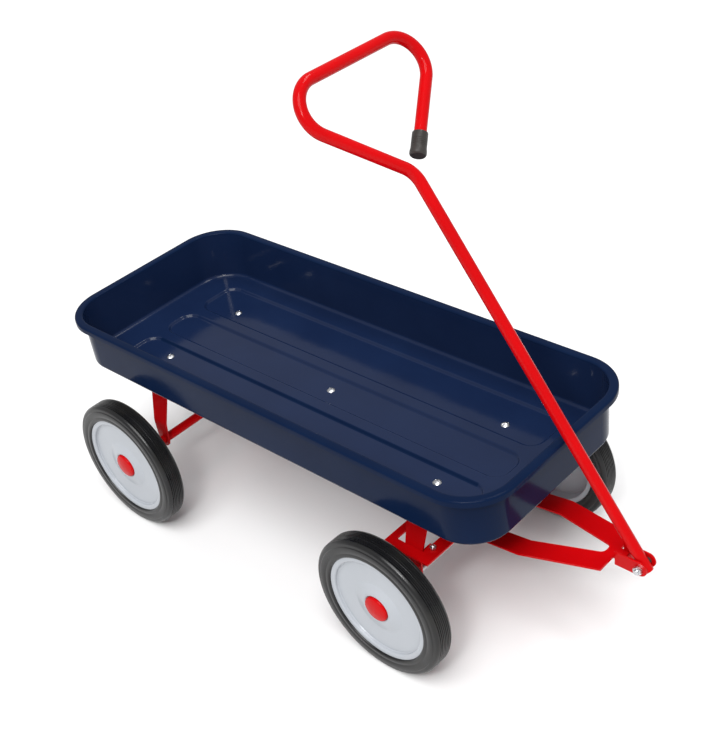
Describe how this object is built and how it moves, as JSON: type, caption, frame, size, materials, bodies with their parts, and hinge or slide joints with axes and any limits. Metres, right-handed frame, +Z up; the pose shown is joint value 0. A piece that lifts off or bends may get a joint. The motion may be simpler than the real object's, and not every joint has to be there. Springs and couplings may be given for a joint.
{
  "type": "pull wagon",
  "caption": "Steel pull wagon with a pressed rounded tray, disc wheels on rubber tyres, a steered front axle and a bent-tube loop handle hinged on a yoke.",
  "frame": {"origin": "on the ground under the middle of the wagon's overall length", "axes": "+X forward, towards the handle's hinge; +Y to the wagon's left; +Z up"},
  "size_m": [1.1386, 0.496, 0.9278],
  "materials": {
    "tray_paint": "gloss",
    "red_paint": "gloss",
    "zinc_plate": "satin",
    "axle_steel": "satin",
    "wheel_paint": "gloss",
    "tyre_rubber": "matt",
    "black_plastic": "satin"
  },
  "bodies": {
    "chassis": {"tray": "tray_paint", "rear_bracket": "red_paint", "rear_axle_tube": "red_paint", "rear_axle": "axle_steel", "centre_brace": "red_paint", "front_bolster": "red_paint", "rear_tray_bolts": "zinc_plate", "rear_tray_nuts": "zinc_plate", "front_tray_bolts": "zinc_plate", "front_tray_nuts": "zinc_plate", "centre_tray_bolt": "zinc_plate", "centre_tray_nut": "zinc_plate", "rear_axle_washers": "zinc_plate", "rear_axle_push_nuts": "zinc_plate", "turntable_washer": "black_plastic", "kingpin_bolt": "zinc_plate", "kingpin_washer": "zinc_plate", "kingpin_nut": "zinc_plate"},
    "steering": {"front_bracket": "red_paint", "front_axle": "axle_steel", "front_axle_spacers": "axle_steel", "front_axle_washers": "zinc_plate", "front_axle_push_nuts": "zinc_plate", "steering_yoke": "red_paint", "hinge_ears": "red_paint", "yoke_bolts": "zinc_plate", "yoke_nuts": "zinc_plate", "hinge_bolt": "zinc_plate", "hinge_nut": "zinc_plate"},
    "handle": {"handle_tube": "red_paint", "handle_end_cap": "black_plastic", "hinge_bush": "black_plastic"},
    "wheel_rear_left": {"tyre_rear_left": "tyre_rubber", "wheel_disc_rear_left": "wheel_paint", "wheel_back_rear_left": "wheel_paint", "hub_rear_left": "axle_steel", "hub_cap_rear_left": "red_paint"},
    "wheel_rear_right": {"tyre_rear_right": "tyre_rubber", "wheel_disc_rear_right": "wheel_paint", "wheel_back_rear_right": "wheel_paint", "hub_rear_right": "axle_steel", "hub_cap_rear_right": "red_paint"},
    "wheel_front_left": {"tyre_front_left": "tyre_rubber", "wheel_disc_front_left": "wheel_paint", "wheel_back_front_left": "wheel_paint", "hub_front_left": "axle_steel", "hub_cap_front_left": "red_paint"},
    "wheel_front_right": {"tyre_front_right": "tyre_rubber", "wheel_disc_front_right": "wheel_paint", "wheel_back_front_right": "wheel_paint", "hub_front_right": "axle_steel", "hub_cap_front_right": "red_paint"}
  },
  "joints": [
    {"name": "steer", "type": "hinge", "parent": "chassis", "child": "steering", "pos_m": [0.2237, 0, 0.2605], "axis": [0, 0, 1], "range_deg": [-14, 14]},
    {"name": "handle_fold", "type": "hinge", "parent": "steering", "child": "handle", "pos_m": [0.5547, 0, 0.216], "axis": [0, 1, 0], "range_deg": [0, 137]},
    {"name": "spin_rear_left", "type": "hinge", "parent": "chassis", "child": "wheel_rear_left", "pos_m": [-0.4083, 0.226, 0.127], "axis": [0, 1, 0], "continuous": true},
    {"name": "spin_rear_right", "type": "hinge", "parent": "chassis", "child": "wheel_rear_right", "pos_m": [-0.4083, -0.226, 0.127], "axis": [0, 1, 0], "continuous": true},
    {"name": "spin_front_left", "type": "hinge", "parent": "steering", "child": "wheel_front_left", "pos_m": [0.2237, 0.226, 0.127], "axis": [0, 1, 0], "continuous": true},
    {"name": "spin_front_right", "type": "hinge", "parent": "steering", "child": "wheel_front_right", "pos_m": [0.2237, -0.226, 0.127], "axis": [0, 1, 0], "continuous": true}
  ]
}
